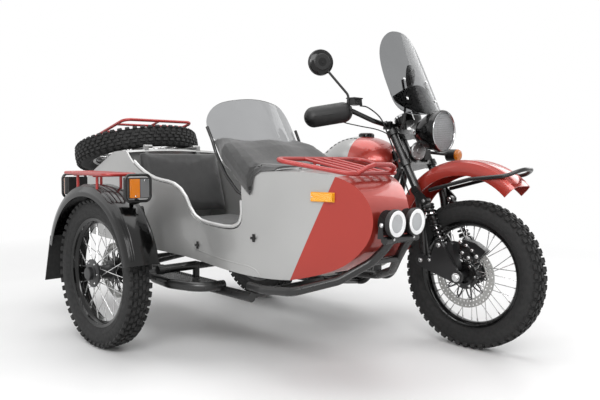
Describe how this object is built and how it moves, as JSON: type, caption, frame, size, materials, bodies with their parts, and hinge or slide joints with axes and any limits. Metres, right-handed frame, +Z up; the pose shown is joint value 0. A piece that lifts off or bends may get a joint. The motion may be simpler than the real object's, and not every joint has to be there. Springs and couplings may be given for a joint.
{
  "type": "sidecar motorcycle",
  "caption": "Boxer motorcycle with a passenger sidecar on its right, wire wheels, leading-link fork, spare wheel on the trunk lid, tall screen and luggage racks.",
  "frame": {"origin": "on the ground under the middle of the whole outfit", "axes": "+X ahead, +Y to the rider's left, +Z up; the sidecar is on the -Y side"},
  "size_m": [2.4182, 1.7978, 1.5044],
  "materials": {
    "tyre": "matte",
    "wheel_black": "gloss",
    "disc_steel": "brushed",
    "frame_black": "satin",
    "shock_black": "satin",
    "gloss_black": "gloss",
    "terracotta": "satin",
    "silver_paint": "gloss",
    "clear_screen": "gloss",
    "engine_alloy": "satin",
    "exhaust_steel": "satin",
    "black_plastic": "matte",
    "black_rubber": "matte",
    "amber_lens": "gloss",
    "red_lens": "gloss",
    "seat_vinyl": "satin",
    "apron_vinyl": "matte"
  },
  "bodies": {
    "root": {"apron": "apron_vinyl", "bumper": "frame_black", "cockpit_bead": "silver_paint", "crankcase": "engine_alloy", "cylinders": "engine_alloy", "exhausts": "exhaust_steel", "fender_lamps": "amber_lens", "fender_rack": "terracotta", "foot_controls": "frame_black", "fuel_tank": "silver_paint", "intakes": "black_plastic", "lamp_guards": "frame_black", "motorcycle_frame": "frame_black", "mudflap": "black_rubber", "nose_rack": "terracotta", "rear_fender": "gloss_black", "saddle": "seat_vinyl", "screen_struts": "frame_black", "seat_back": "seat_vinyl", "seat_cushion": "seat_vinyl", "shocks": "shock_black", "sidecar_chassis": "frame_black", "sidecar_fender": "gloss_black", "sidecar_screen": "clear_screen", "sidecar_swingarm": "frame_black", "sidecar_tub": "silver_paint", "spot_lamps": "black_plastic", "step_bar": "frame_black", "swingarm": "frame_black", "tail_lamp": "red_lens"},
    "front_wheel_set": {"front_tyre": "tyre", "front_wheel": "wheel_black", "front_disc": "disc_steel"},
    "rear_wheel_set": {"rear_tyre": "tyre", "rear_wheel": "wheel_black", "rear_disc": "disc_steel"},
    "sidecar_wheel_set": {"sidecar_tyre": "tyre", "sidecar_wheel": "wheel_black", "sidecar_disc": "disc_steel"},
    "steering": {"fork_frame": "frame_black", "fork_links": "frame_black", "fork_shocks": "shock_black", "front_caliper": "gloss_black", "front_fender": "terracotta", "fender_hoop": "frame_black", "handlebar": "frame_black", "hand_guards": "black_plastic", "mirrors": "black_plastic", "headlamp": "gloss_black", "instruments": "black_plastic", "bike_screen": "clear_screen", "front_signals": "amber_lens"},
    "trunk": {"trunk_lid": "silver_paint", "spare_carrier": "frame_black", "luggage_rail": "terracotta", "spare_tyre": "tyre", "spare_wheel": "wheel_black"},
    "stand": {"centre_stand": "frame_black"}
  },
  "joints": [
    {"name": "steer", "type": "hinge", "parent": "root", "child": "steering", "pos_m": [0.47613, 0.43825, 0.9], "axis": [-0.4833, 0, 0.8755], "range_deg": [-35, 35]},
    {"name": "front_roll", "type": "hinge", "parent": "steering", "child": "front_wheel_set", "pos_m": [0.86713, 0.43825, 0.342], "axis": [0, 1, 0], "continuous": true},
    {"name": "rear_roll", "type": "hinge", "parent": "root", "child": "rear_wheel_set", "pos_m": [-0.62787, 0.43825, 0.342], "axis": [0, 1, 0], "continuous": true},
    {"name": "sidecar_roll", "type": "hinge", "parent": "root", "child": "sidecar_wheel_set", "pos_m": [-0.29787, -0.80175, 0.342], "axis": [0, 1, 0], "continuous": true},
    {"name": "trunk_hinge", "type": "hinge", "parent": "root", "child": "trunk", "pos_m": [-0.51588, -0.28169, 0.91992], "axis": [0, 1, 0], "range_deg": [0, 50]},
    {"name": "stand_pivot", "type": "hinge", "parent": "root", "child": "stand", "pos_m": [-0.20777, 0.43825, 0.198], "axis": [0, -1, 0], "range_deg": [0, 100], "stiffness_Nm_per_rad": 4, "springref_deg": -85.94}
  ]
}
